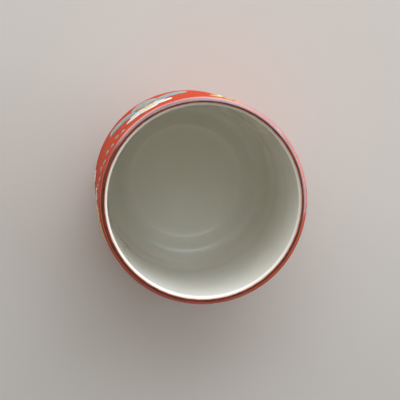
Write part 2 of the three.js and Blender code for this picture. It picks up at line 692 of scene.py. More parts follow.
def enamel_drop(name: str, radius: float, rise: float) -> Piece:
    """A round drop of enamel on the XZ plane, raised towards -Y.

    Args:
        name: The object's name.
        radius: The drop's radius.
        rise: How far it stands up.

    Returns:
        The closed drop, at the origin.
    """
    clear_selection()
    bpy.ops.mesh.primitive_uv_sphere_add(
        segments=DROP_STEPS,
        ring_count=DROP_ROWS,
        radius=radius,
        rotation=(math.pi / 2, 0.0, 0.0),
        calc_uvs=False,
    )
    drop = added(name)
    settle(drop)
    edit_all(drop)
    bpy.ops.transform.resize(value=(1.0, rise / radius, 1.0))
    close_edit()
    middle = (0.0, 0.0, 0.0)
    cut(drop, middle, MOTIF_AXIS, use_fill=True, clear_outer=True, threshold=MERGE_DISTANCE)
    face_outwards(drop)
    smooth(drop, DROP_SHARP_ANGLE)
    return drop


# Shader wiring


class Mottle(NamedTuple):
    """Cloudy noise: its lumps to the metre, its finer layers, and the readings it comes in between."""

    scale: float
    detail: float
    span: Span


class Scatter(NamedTuple):
    """Specks: their cells to the metre, their radius, the share of cells with one, and their strength."""

    cells: float
    radius: float
    share: float
    strength: float


class Skin(NamedTuple):
    """A fired skin: its waves and its fine lumps to the metre, the fine lumps' share, and its depth."""

    waves: float
    fine: float
    fine_share: float
    depth: float


class Strokes(NamedTuple):
    """Brush marks: how fast they change along the brush's way and across it."""

    along: float
    across: float


class Wiring:
    """Adds shader nodes to one tree and links them."""

    def __init__(self, tree: bpy.types.NodeTree) -> None:
        """Keeps the tree that the nodes go into."""
        self.tree = tree

    def add(self, kind: str, **settings: object) -> Node:
        """Adds a node.

        Args:
            kind: The node's type.
            **settings: The node's settings by name.

        Returns:
            The node.
        """
        node = self.tree.nodes.new(kind)
        for name, value in settings.items():
            setattr(node, name, value)
        return node

    def feed(self, socket: Socket, value: Value) -> None:
        """Links a socket to another node's output, or sets its own value.

        Args:
            socket: The socket.
            value: The other node's output, or the socket's own value.
        """
        if isinstance(value, Socket):
            self.tree.links.new(value, socket)
        else:
            socket.default_value = value

    def feed_all(self, node: Node, values: dict[str, Value]) -> None:
        """Feeds several inputs of a node by their names."""
        for name, value in values.items():
            self.feed(node.inputs[name], value)

    def math(self, operation: str, *values: Value) -> Socket:
        """A sum or comparison.

        Args:
            operation: The Math node's operation.
            *values: What it works on.

        Returns:
            The result.
        """
        node = self.add("ShaderNodeMath", operation=operation)
        for socket, value in zip(node.inputs, values):
            self.feed(socket, value)
        return node.outputs[0]

    def times(self, first: Value, second: Value) -> Socket:
        """One reading times another."""
        return self.math("MULTIPLY", first, second)

    def mixed(self, first: Value, share: Value, second: Value, other: Value) -> Socket:
        """The sum of two readings, each times its share."""
        return self.math("ADD", self.times(first, share), self.times(second, other))

    def ramp(self, value: Value, span: Span, result: Span) -> Socket:
        """A smooth step from one value to another.

        Args:
            value: What is read.
            span: Readings at which the step starts and ends.
            result: Results at the start and at the end.

        Returns:
            The result.
        """
        node = self.add("ShaderNodeMapRange", interpolation_type="SMOOTHSTEP")
        for socket, reading in zip(node.inputs, (value, *span, *result)):
            self.feed(socket, reading)
        return node.outputs[0]

    def fade(self, value: Value, span: Span, strength: float = 1.0) -> Socket:
        """A mask that comes in between two readings, up to a strength."""
        return self.ramp(value, span, Span(0.0, strength))

    def blend(self, factor: Value, first: Value, second: Value) -> Socket:
        """A mix of two colours.

        Args:
            factor: Share of the second.
            first: Colour at 0.
            second: Colour at 1.

        Returns:
            The mixed colour.
        """
        node = self.add("ShaderNodeMix", data_type="RGBA")
        for place, value in ((MIX_FACTOR, factor), (MIX_A, first), (MIX_B, second)):
            self.feed(node.inputs[place], value)
        return node.outputs[MIX_RESULT]

    def noise(self, vector: Value, scale: Value, detail: float) -> Socket:
        """Cloudy noise from 0 to 1.

        Args:
            vector: Where it is read.
            scale: Lumps to the metre.
            detail: Finer layers in it.

        Returns:
            The noise.
        """
        node = self.add("ShaderNodeTexNoise")
        self.feed_all(node, {"Vector": vector, "Scale": scale, "Detail": detail})
        return node.outputs[0]

    def mottle(self, mottle: Mottle, result: Span = Span(0.0, 1.0)) -> Socket:
        """Cloudy noise over the cup, as a smooth step from one value to another."""
        return self.ramp(self.noise(self.place(), mottle.scale, mottle.detail), mottle.span, result)

    def split(self, vector: Value) -> list[Socket]:
        """The three parts of a vector.

        Args:
            vector: The vector.

        Returns:
            Its parts along x, y and z.
        """
        node = self.add("ShaderNodeSeparateXYZ")
        self.feed(node.inputs[0], vector)
        return list(node.outputs)

    def place(self) -> Socket:
        """Where the surface is in the cup's frame."""
        return self.add("ShaderNodeTexCoord").outputs["Object"]

    def flat_place(self) -> list[Socket]:
        """Where the surface is in a motif's drawing plane, across and up, in millimetres."""
        return self.split(self.add("ShaderNodeUVMap", uv_map=FLAT_MAP).outputs[0])[:2]

    def height(self) -> Socket:
        """Height of the surface in the cup's frame."""
        return self.split(self.place())[2]

    def from_axis(self) -> Socket:
        """Distance from the cup's axis."""
        x, y, _ = self.split(self.place())
        return self.math("SQRT", self.mixed(x, x, y, y))

    def bump(self, shader: Node, height: Value, depth: float) -> None:
        """Feeds a shader's normal from a height map.

        Args:
            shader: The shader node.
            height: The height, 0 to 1.
            depth: The depth of the relief.
        """
        node = self.add("ShaderNodeBump")
        self.feed_all(node, {"Distance": depth, "Height": height})
        self.feed(shader.inputs["Normal"], node.outputs["Normal"])


class Effect(ABC):
    """A surface effect that several finishes share, as a shader node group that is built once."""

    NAME: ClassVar[str]
    INPUTS: ClassVar[tuple[str, ...]]
    OUTPUT: ClassVar[str]

    @classmethod
    @abstractmethod
    def wire(cls, wiring: Wiring, given: Sockets) -> Socket:
        """Wires the effect inside its group.

        Args:
            wiring: The group's wiring.
            given: The group's inputs by name.

        Returns:
            What the group puts out.
        """

    @classmethod
    def group(cls) -> bpy.types.NodeTree:
        """The effect's node group, built at its first use.

        Returns:
            The group.
        """
        found = bpy.data.node_groups.get(cls.NAME)
        if found is not None:
            return found
        tree = bpy.data.node_groups.new(cls.NAME, "ShaderNodeTree")
        for name in cls.INPUTS:
            tree.interface.new_socket(name, in_out="INPUT", socket_type="NodeSocketFloat")
        tree.interface.new_socket(cls.OUTPUT, in_out="OUTPUT", socket_type="NodeSocketFloat")
        wiring = Wiring(tree)
        inside = wiring.add("NodeGroupInput")
        result = cls.wire(wiring, {name: inside.outputs[name] for name in cls.INPUTS})
        wiring.feed(wiring.add("NodeGroupOutput").inputs[cls.OUTPUT], result)
        return tree

    @classmethod
    def use(cls, wiring: Wiring, *values: float) -> Socket:
        """Places the effect in a material.

        Args:
            wiring: The material's wiring.
            *values: The effect's inputs, in order.

        Returns:
            The effect's output.
        """
        node = wiring.add("ShaderNodeGroup", node_tree=cls.group())
        wiring.feed_all(node, dict(zip(cls.INPUTS, values)))
        return node.outputs[cls.OUTPUT]


class GlazeRipple(Effect):
    """The slow waves and the fine lumps of a fired skin."""

    NAME = "Glaze Ripple"
    INPUTS = ("Waves", "Fine", "Fine Share")
    OUTPUT = "Height"
    WAVE_DETAIL: ClassVar[float] = 1.0
    FINE_DETAIL: ClassVar[float] = 2.0

    @classmethod
    def wire(cls, wiring: Wiring, given: Sockets) -> Socket:
        """Adds a share of fine noise to slow noise.

        Args:
            wiring: The group's wiring.
            given: The group's inputs by name.

        Returns:
            The height of the skin.
        """
        place = wiring.place()
        waves = wiring.noise(place, given["Waves"], cls.WAVE_DETAIL)
        fine = wiring.noise(place, given["Fine"], cls.FINE_DETAIL)
        return wiring.math("ADD", waves, wiring.times(fine, given["Fine Share"]))


class Specks(Effect):
    """Scattered specks or pinholes."""

    NAME = "Specks"
    INPUTS = ("Cells", "Radius", "Share")
    OUTPUT = "Mask"
    SOFT_EDGE: ClassVar[Span] = Span(0.0, 0.6)  # from a speck's rim towards its middle

    @classmethod
    def wire(cls, wiring: Wiring, given: Sockets) -> Socket:
        """Keeps a share of round spots, one to a cell.

        Args:
            wiring: The group's wiring.
            given: The group's inputs by name.

        Returns:
            A mask of the spots.
        """
        cells = wiring.add("ShaderNodeTexVoronoi")
        wiring.feed_all(cells, {"Vector": wiring.place(), "Scale": given["Cells"]})
        draw = wiring.split(cells.outputs["Color"])[0]
        kept = wiring.math("LESS_THAN", draw, given["Share"])
        size = wiring.times(given["Radius"], given["Cells"])
        nearness = wiring.math("SUBTRACT", 1.0, wiring.math("DIVIDE", cells.outputs["Distance"], size))
        return wiring.times(kept, wiring.fade(nearness, cls.SOFT_EDGE))


class BrushStreaks(Effect):
    """Streaks that a brush leaves as the cup turns on a wheel."""

    NAME = "Brush Streaks"
    INPUTS = ("Along", "Across")
    OUTPUT = "Mask"
    DETAIL: ClassVar[float] = 4.0

    @classmethod
    def wire(cls, wiring: Wiring, given: Sockets) -> Socket:
        """Reads noise that is stretched round the axis and has no seam.

        Args:
            wiring: The group's wiring.
            given: The group's inputs by name.

        Returns:
            A mask of the streaks.
        """
        x, y, z = wiring.split(wiring.place())
        away = wiring.from_axis()
        stretched = wiring.add("ShaderNodeCombineXYZ")
        for socket, part in zip(stretched.inputs, (x, y)):
            wiring.feed(socket, wiring.times(wiring.math("DIVIDE", part, away), given["Along"]))
        wiring.feed(stretched.inputs[2], wiring.times(z, given["Across"]))
        return wiring.noise(stretched.outputs[0], 1.0, cls.DETAIL)


class LipAngle(Effect):
    """Where the surface is on the lip's round section: 0 outwards, 90 up, 180 inwards, then down."""

    NAME = "Lip Angle"
    INPUTS = ("Centre Radius", "Centre Height")
    OUTPUT = "Degrees"

    @classmethod
    def wire(cls, wiring: Wiring, given: Sockets) -> Socket:
        """Measures the angle about the section's centre.

        Args:
            wiring: The group's wiring.
            given: The group's inputs by name.

        Returns:
            The angle.
        """
        up = wiring.math("SUBTRACT", wiring.height(), given["Centre Height"])
        inwards = wiring.math("SUBTRACT", given["Centre Radius"], wiring.from_axis())
        return wiring.math("ADD", 90.0, wiring.math("DEGREES", wiring.math("ARCTAN2", inwards, up)))


class PaintedBorder(Effect):
    """How far the surface lies outside the painted line between the lip's brown and the red."""

    NAME = "Painted Border"
    INPUTS = ("Radius", "Swing", "Wander")
    OUTPUT = "Millimetres"
    WIDE_SIDE: ClassVar[float] = 105.0  # angle at which the brown is widest
    CLOUDS: ClassVar[Mottle] = Mottle(scale=170.0, detail=3.0, span=Span(0.3, 0.7))

    @classmethod
    def wire(cls, wiring: Wiring, given: Sockets) -> Socket:
        """Measures from a circle that swings to one side and wanders a little.

        Args:
            wiring: The group's wiring.
            given: The group's inputs by name.

        Returns:
            The distance, outwards.
        """
        x, y, _ = wiring.split(wiring.place())
        away = wiring.from_axis()
        wide = math.radians(cls.WIDE_SIDE)
        side = wiring.mixed(x, math.cos(wide), y, math.sin(wide))
        swing = wiring.times(wiring.math("DIVIDE", side, away), given["Swing"])
        wander = wiring.times(wiring.mottle(cls.CLOUDS, Span(-1.0, 1.0)), given["Wander"])
        border = wiring.math("ADD", given["Radius"], wiring.math("ADD", swing, wander))
        return wiring.math("DIVIDE", wiring.math("SUBTRACT", away, border), MM)


class Rise(Effect):
    """How far the surface stands off a cylinder about the cup's axis, in millimetres."""

    NAME = "Rise"
    INPUTS = ("Ground Radius",)
    OUTPUT = "Millimetres"

    @classmethod
    def wire(cls, wiring: Wiring, given: Sockets) -> Socket:
        """Takes the cylinder's radius from the distance to the axis."""
        stand_off = wiring.math("SUBTRACT", wiring.from_axis(), given["Ground Radius"])
        return wiring.math("DIVIDE", stand_off, MM)


# Finishes


@dataclass(frozen=True)
class Finish(ABC):
    """A surface's look: a procedural material, made at its first use."""

    name: str

    @abstractmethod
    def wire(self, wiring: Wiring, shader: Node) -> None:
        """Wires the material.

        Args:
            wiring: The material's wiring.
            shader: Its Principled shader.
        """

    def material(self) -> bpy.types.Material:
        """The finish's material.

        Returns:
            The material.
        """
        found = bpy.data.materials.get(self.name)
        if found is not None:
            return found
        made = bpy.data.materials.new(self.name)
        made.use_nodes = True
        self.wire(Wiring(made.node_tree), made.node_tree.nodes["Principled BSDF"])
        return made


@dataclass(frozen=True)
class CupFinish(Finish):
    """A finish of the cup, in one of the record's slots."""

    slot: Slot

    @staticmethod
    def specks(wiring: Wiring, scatter: Scatter) -> Socket:
        """A mask of scattered specks, at their strength."""
        mask = Specks.use(wiring, scatter.cells, scatter.radius, scatter.share)
        return wiring.times(mask, scatter.strength)

    @staticmethod
    def ripple(wiring: Wiring, skin: Skin) -> Socket:
        """The height of a fired skin."""
        return GlazeRipple.use(wiring, skin.waves, skin.fine, skin.fine_share)


@dataclass(frozen=True)
class WhiteGlaze(CupFinish):
    """Clear glaze over white porcelain, with a faint tint where it lies thick and painted shade in the
    bottom corner.
    """

    lip_centre: Point
    colour: Colour = srgb(243, 239, 226)
    cloud: Colour = srgb(239, 234, 219)
    pooled: Colour = srgb(226, 228, 213)
    # painted shade: a darker glaze colour for the bottom corner, where shade falls
    painted_corner_shade: Colour = srgb(206, 208, 192)
    speck: Colour = srgb(120, 104, 84)
    stain: Colour = srgb(206, 140, 94)
    halo: float = 0.75  # strength of the brown stain beside the lip's band
    halo_angles: Span = Span(142.0, 107.0)
    pool: Span = Span(15.0 * MM, 9.0 * MM)  # heights at which the glaze starts to pool and has pooled
    pool_strength: float = 0.45
    painted_shade_ring: Span = Span(21.0 * MM, 27.0 * MM)  # from here outwards the pooled glaze is darkened as painted shade in the corner
    painted_shade_strength: float = 0.5
    dull_reach: float = 1.6  # the gloss dulls from this many times the pool's top down to it
    dullness: float = 0.16
    clouds: Mottle = Mottle(scale=45.0, detail=3.0, span=Span(0.35, 0.65))
    scatter: Scatter = Scatter(cells=240.0, radius=0.16 * MM, share=0.012, strength=0.7)
    gloss: Mottle = Mottle(scale=260.0, detail=3.0, span=Span(0.3, 0.7))
    roughness: Span = Span(0.05, 0.09)
    skin: Skin = Skin(waves=90.0, fine=900.0, fine_share=0.03, depth=0.012 * MM)

    def wire(self, wiring: Wiring, shader: Node) -> None:
        """Mixes clouds, pools, painted shade in the bottom corner, specks and the lip's brown halo into
        the white, over a rippled skin.

        Args:
            wiring: The material's wiring.
            shader: Its Principled shader.
        """
        height = wiring.height()
        colour = wiring.blend(wiring.mottle(self.clouds), self.colour, self.cloud)
        pool = wiring.fade(height, self.pool, self.pool_strength)
        colour = wiring.blend(pool, colour, self.pooled)
        # painted shade: darkens the pooled glaze from a ring outwards into the corner
        corner = wiring.fade(wiring.from_axis(), self.painted_shade_ring, self.painted_shade_strength)
        colour = wiring.blend(wiring.times(pool, corner), colour, self.painted_corner_shade)
        if self.halo > 0.0:
            angle = LipAngle.use(wiring, *self.lip_centre)
            colour = wiring.blend(wiring.fade(angle, self.halo_angles, self.halo), colour, self.stain)
        colour = wiring.blend(self.specks(wiring, self.scatter), colour, self.speck)
        gloss = wiring.mottle(self.gloss, self.roughness)
        dulled = Span(self.dull_reach * self.pool.start, self.pool.start)
        rough = wiring.math("ADD", gloss, wiring.fade(height, dulled, self.dullness))
        wiring.feed_all(shader, {"Base Color": colour, "Roughness": rough})
        wiring.bump(shader, self.ripple(wiring, self.skin), self.skin.depth)


@dataclass(frozen=True)
class LipPaint(CupFinish):
    """What the lip's brown and the wall's red share: the painted line between them."""

    border: float = 35.29 * MM
    swing: float = 0.3 * MM
    wander: float = 0.07 * MM
    brown: Colour = srgb(120, 44, 24)
    red: Colour = srgb(204, 66, 20)
    thin: Colour = srgb(232, 150, 100)
    crossing: Span = Span(-0.05, 0.05)  # millimetres in which the brown gives way to the red
    line_reach: Span = Span(0.13, 0.03)  # millimetres to either side of the line
    line_strength: float = 0.45

    def outside(self, wiring: Wiring) -> Socket:
        """How far the surface lies outside the painted line, in millimetres."""
        return PaintedBorder.use(wiring, self.border, self.swing, self.wander)

    def line(self, wiring: Wiring, outside: Value) -> Socket:
        """A mask of a pale line along the painted border."""
        return wiring.fade(wiring.math("ABSOLUTE", outside), self.line_reach, self.line_strength)


@dataclass(frozen=True)
class IronGlaze(LipPaint):
    """Iron-brown glaze brushed on the lip, thin and uneven along its edges."""

    lip_centre: Point = Point(0.0, 0.0)
    inner_edge: float = 110.0
    dark_brown: Colour = srgb(88, 28, 16)
    stained: Colour = srgb(222, 178, 142)
    strokes: Strokes = Strokes(along=9.0, across=1800.0)
    streaks: Span = Span(0.35, 0.65)
    edge_clouds: Mottle = Mottle(scale=420.0, detail=3.0, span=Span(0.3, 0.7))
    edge_wander: Span = Span(-3.0, 3.0)
    thinning: Span = Span(-10.0, -2.0)  # angles from the inner edge between which the brown thins
    thinness: float = 0.5
    ending: Span = Span(-4.0, 3.0)  # angles from the inner edge between which it ends
    roughness: Span = Span(0.16, 0.24)
    shine: float = 0.9  # of the glaze and of the coat on it
    coat_roughness: float = 0.16
    skin: Skin = Skin(waves=320.0, fine=1500.0, fine_share=0.3, depth=0.03 * MM)

    def about_edge(self, span: Span) -> Span:
        """Angles that are counted from the inner edge, as angles on the lip."""
        return Span(self.inner_edge + span.start, self.inner_edge + span.end)

    def wire(self, wiring: Wiring, shader: Node) -> None:
        """Streaks the brown along the lip and lets it fade out into the stained white at its inner edge.

        Args:
            wiring: The material's wiring.
            shader: Its Principled shader.
        """
        streaks = wiring.fade(BrushStreaks.use(wiring, *self.strokes), self.streaks)
        colour = wiring.blend(streaks, self.brown, self.dark_brown)
        outside = self.outside(wiring)
        colour = wiring.blend(wiring.fade(outside, self.crossing), colour, self.red)
        colour = wiring.blend(self.line(wiring, outside), colour, self.thin)
        angle = LipAngle.use(wiring, *self.lip_centre)
        uneven = wiring.math("ADD", angle, wiring.mottle(self.edge_clouds, self.edge_wander))
        thin = wiring.fade(uneven, self.about_edge(self.thinning), self.thinness)
        colour = wiring.blend(thin, colour, self.thin)
        colour = wiring.blend(wiring.fade(uneven, self.about_edge(self.ending)), colour, self.stained)
        values = {
            "Base Color": colour,
            "Roughness": wiring.ramp(streaks, Span(0.0, 1.0), self.roughness),
            "Specular IOR Level": self.shine,
            "Coat Weight": self.shine,
            "Coat Roughness": self.coat_roughness,
        }
        wiring.feed_all(shader, values)
        wiring.bump(shader, self.ripple(wiring, self.skin), self.skin.depth)


@dataclass(frozen=True)
class RedEnamel(LipPaint):
    """Iron-red overglaze enamel, banded on with a wide brush, with a clear glossy brow."""

    dense_red: Colour = srgb(186, 50, 15)
    brow: Span = Span(86.85 * MM, 87.2 * MM)  # heights between which the gloss of the brow comes in
    strokes: Strokes = Strokes(along=1.8, across=1300.0)
    stroke_share: float = 0.7
    mottle_scale: float = 170.0
    mottle_detail: float = 4.0
    mottle_share: float = 0.3
    dense: Span = Span(0.34, 0.66)
    bare: Span = Span(0.44, 0.3)
    bareness: float = 0.12
    pinholes: Scatter = Scatter(cells=420.0, radius=0.13 * MM, share=0.035, strength=0.6)
    matt: Span = Span(0.35, 0.65)
    roughness: Span = Span(0.46, 0.56)
    specular: float = 0.04
    sheen: float = 0.3  # gloss of the wall where it is faced
    faced: Span = Span(0.82, 0.5)  # from nearly edge-on to faced
    coat_roughness: float = 0.16
    coat_ior: float = 1.9
    stroke_relief: float = 0.4
    skin: Skin = Skin(waves=110.0, fine=1300.0, fine_share=0.2, depth=0.04 * MM)

    def wire(self, wiring: Wiring, shader: Node) -> None:
        """Varies the red by brush streaks, mottling and pinholes, with brown lapping over its brow.

        Args:
            wiring: The material's wiring.
            shader: Its Principled shader.
        """
        streaks = BrushStreaks.use(wiring, *self.strokes)
        mottle = wiring.noise(wiring.place(), self.mottle_scale, self.mottle_detail)
        density = wiring.mixed(streaks, self.stroke_share, mottle, self.mottle_share)
        colour = wiring.blend(wiring.fade(density, self.dense), self.red, self.dense_red)
        colour = wiring.blend(wiring.fade(density, self.bare, self.bareness), colour, self.thin)
        colour = wiring.blend(self.specks(wiring, self.pinholes), colour, self.thin)
        brow = wiring.fade(wiring.height(), self.brow)
        outside = self.outside(wiring)
        inwards = Span(self.crossing.end, self.crossing.start)
        colour = wiring.blend(wiring.times(brow, wiring.fade(outside, inwards)), colour, self.brown)
        colour = wiring.blend(wiring.times(brow, self.line(wiring, outside)), colour, self.thin)
        edge_on = wiring.add("ShaderNodeLayerWeight").outputs["Facing"]
        faced = wiring.fade(edge_on, self.faced, self.sheen)
        values = {
            "Base Color": colour,
            "Roughness": wiring.ramp(density, self.matt, self.roughness),
            "Specular IOR Level": self.specular,
            "Coat Weight": wiring.math("MAXIMUM", brow, faced),
            "Coat Roughness": self.coat_roughness,
            "Coat IOR": self.coat_ior,
        }
        wiring.feed_all(shader, values)
        height = wiring.mixed(self.ripple(wiring, self.skin), 1.0, streaks, self.stroke_relief)
        wiring.bump(shader, height, self.skin.depth)


@dataclass(frozen=True)
class Porcelain(CupFinish):
    """Fired clay, bare where the cup stands and glazed above a height."""

    bare: Colour = srgb(222, 210, 190)
    grain: Colour = srgb(203, 188, 164)
    toasted: Colour = srgb(196, 148, 104)
    glazed: Colour = srgb(229, 227, 219)
    glaze: Span = Span(1.1 * MM, 1.25 * MM)  # heights between which the glaze starts
    line_clouds: Mottle = Mottle(scale=130.0, detail=3.0, span=Span(0.3, 0.7))
    line_wander: Span = Span(-0.2 * MM, 0.2 * MM)
    toast: Span = Span(0.6 * MM, 1.1 * MM)  # heights between which the clay toasts
    toast_strength: float = 0.55
    grains: Mottle = Mottle(scale=1600.0, detail=4.0, span=Span(0.4, 0.7))
    grit: Scatter = Scatter(cells=700.0, radius=0.12 * MM, share=0.1, strength=0.6)
    roughness: Span = Span(0.62, 0.1)  # of bare clay and of glaze
    skin: Skin = Skin(waves=300.0, fine=2600.0, fine_share=0.8, depth=0.03 * MM)

    def wire(self, wiring: Wiring, shader: Node) -> None:
        """Grains the bare clay, glazes it above an uneven line and toasts it along that line.

        Args:
            wiring: The material's wiring.
            shader: Its Principled shader.
        """
        height = wiring.math("ADD", wiring.height(), wiring.mottle(self.line_clouds, self.line_wander))
        covered = wiring.fade(height, self.glaze)
        clay = wiring.blend(wiring.mottle(self.grains), self.bare, self.grain)
        clay = wiring.blend(wiring.fade(height, self.toast, self.toast_strength), clay, self.toasted)
        clay = wiring.blend(self.specks(wiring, self.grit), clay, self.toasted)
        colour = wiring.blend(covered, clay, self.glazed)
        rough = wiring.ramp(covered, Span(0.0, 1.0), self.roughness)
        wiring.feed_all(shader, {"Base Color": colour, "Roughness": rough})
        wiring.bump(shader, self.ripple(wiring, self.skin), self.skin.depth)


@dataclass(frozen=True)
class RaisedEnamel(CupFinish):
    """Glassy enamel laid thick inside a drawn outline, thinner and clearer at its edges.

    The spans of its rise and of its drawing are millimetres, apart from that of a petal's lines.
    """

    tones: Tones
    drawing: Drawing
    ground_radius: float
    line: Colour = srgb(60, 26, 22)
    line_strength: float = 0.85
    line_relief: float = -0.8
    clouds: Mottle = Mottle(scale=520.0, detail=3.0, span=Span(0.25, 0.75))
    swell: Span = Span(-0.05, 0.05)
    body: Span = Span(0.1, 0.36)
    outline: Span = Span(0.075, 0.045)
    pinholes: Scatter = Scatter(cells=900.0, radius=0.07 * MM, share=0.05, strength=0.5)
    gloss: Mottle = Mottle(scale=520.0, detail=3.0, span=Span(0.3, 0.7))
    roughness: Span = Span(0.1, 0.19)
    skin: Skin = Skin(waves=420.0, fine=2400.0, fine_share=0.25, depth=0.04 * MM)
    vein_spacing: float = 2.6  # between a leaf's side veins
    vein_slant: float = 0.75
    vein: Span = Span(0.2, 0.06)
    vein_tip: Span = Span(4.2, 2.6)
    rib: Span = Span(0.26, 0.12)
    petal_line_pace: float = 11.0  # half-spaces between fine lines to a radian of a petal
    petal_line: Span = Span(0.22, 0.08)
    petal_line_tip: Span = Span(6.2, 4.6)

    def drawn(self, wiring: Wiring) -> Socket:
        """The lines drawn under the enamel of a petal or a leaf.

        Args:
            wiring: The material's wiring.

        Returns:
            A mask of the lines.
        """
        across, up = wiring.flat_place()
        if self.drawing is Drawing.LEAF:
            aside = wiring.math("ABSOLUTE", across)
            slanted = wiring.math("ADD", up, wiring.times(aside, self.vein_slant))
            wave = wiring.math("PINGPONG", slanted, self.vein_spacing / 2)
            veins = wiring.times(wiring.fade(wave, self.vein), wiring.fade(aside, self.vein_tip))
            return wiring.math("MAXIMUM", wiring.fade(aside, self.rib), veins)
        angle = wiring.math("ARCTAN2", across, up)
        wave = wiring.math("PINGPONG", wiring.times(angle, self.petal_line_pace), 1.0)
        reach = wiring.math("SQRT", wiring.mixed(across, across, up, up))
        return wiring.times(wiring.fade(wave, self.petal_line), wiring.fade(reach, self.petal_line_tip))

    def wire(self, wiring: Wiring, shader: Node) -> None:
        """Tints the enamel by its rise, over the drawn lines and inside the dark outline.

        Args:
            wiring: The material's wiring.
            shader: Its Principled shader.
        """
        thick, thin = self.tones.value
        rise = Rise.use(wiring, self.ground_radius)
        swollen = wiring.math("ADD", rise, wiring.mottle(self.clouds, self.swell))
        colour = wiring.blend(wiring.fade(swollen, self.body), thin, thick)
        height = self.ripple(wiring, self.skin)
        if self.drawing is not Drawing.PLAIN:
            lines = wiring.times(self.drawn(wiring), self.line_strength)
            colour = wiring.blend(lines, colour, self.line)
            height = wiring.mixed(height, 1.0, lines, self.line_relief)
        colour = wiring.blend(wiring.fade(rise, self.outline), colour, self.line)
        colour = wiring.blend(self.specks(wiring, self.pinholes), colour, thin)
        rough = wiring.mottle(self.gloss, self.roughness)
        wiring.feed_all(shader, {"Base Color": colour, "Roughness": rough})
        wiring.bump(shader, height, self.skin.depth)


@dataclass(frozen=True)
class StudioPaper(Finish):
    """Pale matte paper under the cup."""

    colour: Colour = srgb(215, 208, 194)
    shade: Colour = srgb(209, 202, 188)
    cloud_scale: float = 14.0
    cloud_detail: float = 4.0
    roughness: float = 0.9

    def wire(self, wiring: Wiring, shader: Node) -> None:
        """Clouds the paper very faintly.

        Args:
            wiring: The material's wiring.
            shader: Its Principled shader.
        """
        clouds = wiring.noise(wiring.place(), self.cloud_scale, self.cloud_detail)
        colour = wiring.blend(clouds, self.colour, self.shade)
        wiring.feed_all(shader, {"Base Color": colour, "Roughness": self.roughness})


# Sub-assemblies


@dataclass
class SubAssembly(ABC):
    """Pieces that are built, dressed and tied to the frame together."""

    sizes: CupSizes
    pieces: list[Piece] = field(default_factory=list, init=False)

    @abstractmethod
    def build(self) -> None:
        """Models the pieces."""

    @abstractmethod
    def dress(self) -> None:
        """Gives the pieces their finishes and ties them to the frame."""

    def hand_over(self, piece: Piece, finish: CupFinish, *nodes: str) -> None:
        """Dresses one piece and ties it to the frame.

        Args:
            piece: The finished mesh.
            finish: Its finish.
            *nodes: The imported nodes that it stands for.
        """
        piece.data.materials.clear()
        piece.data.materials.append(finish.material())
        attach(piece, BODY)
        if nodes:
            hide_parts(*nodes)
        self.pieces.append(piece)


@dataclass
class Clay(SubAssembly):
    """The thrown body and the foot ring that is luted under it."""

    def build(self) -> None:
        """Turns both pieces from their sections."""
        cup = self.sizes
        pen = Pen("clay_body", Point(0.0, cup.foot_height))
        pen.line(Point(cup.outer_corner_centre.x, cup.foot_height), FLOOR_ROWS)
        pen.arc(cup.outer_corner_centre, 90.0, CORNER_STEPS)
        pen.line(Point(cup.body_radius, cup.lip_centre.z), WALL_ROWS)
        pen.arc(cup.lip_centre, 180.0, 2 * LIP_STEPS)
        pen.line(Point(cup.bore, cup.inner_corner_centre.z), WALL_ROWS)
        pen.arc(cup.inner_corner_centre, -90.0, CORNER_STEPS)
        self.body = pen.line(Point(0.0, cup.clay_floor), FLOOR_ROWS).turned()
        outer = Point(cup.foot_outer - cup.foot_round, cup.foot_round)
        inner = Point(cup.foot_inner + cup.foot_round, cup.foot_round)
        pen = Pen("clay_foot", Point(outer.x, 0.0))
        pen.arc(outer, 90.0, LIP_STEPS)
        pen.line(Point(cup.foot_outer, cup.foot_height), FOOT_ROWS)
        pen.line(Point(cup.foot_inner, cup.foot_height), RIM_ROWS)
        pen.line(Point(cup.foot_inner, cup.foot_round), FOOT_ROWS)
        pen.arc(inner, 90.0, LIP_STEPS)
        self.foot = pen.line(Point(outer.x, 0.0), RIM_ROWS).turned()

    def dress(self) -> None:
        """Leaves the clay bare where the foot stands."""
        finish = Porcelain("Porcelain", Slot.PORCELAIN)
        self.hand_over(self.body, finish, "porcelain_body")
        self.hand_over(self.foot, finish, "foot_ring")


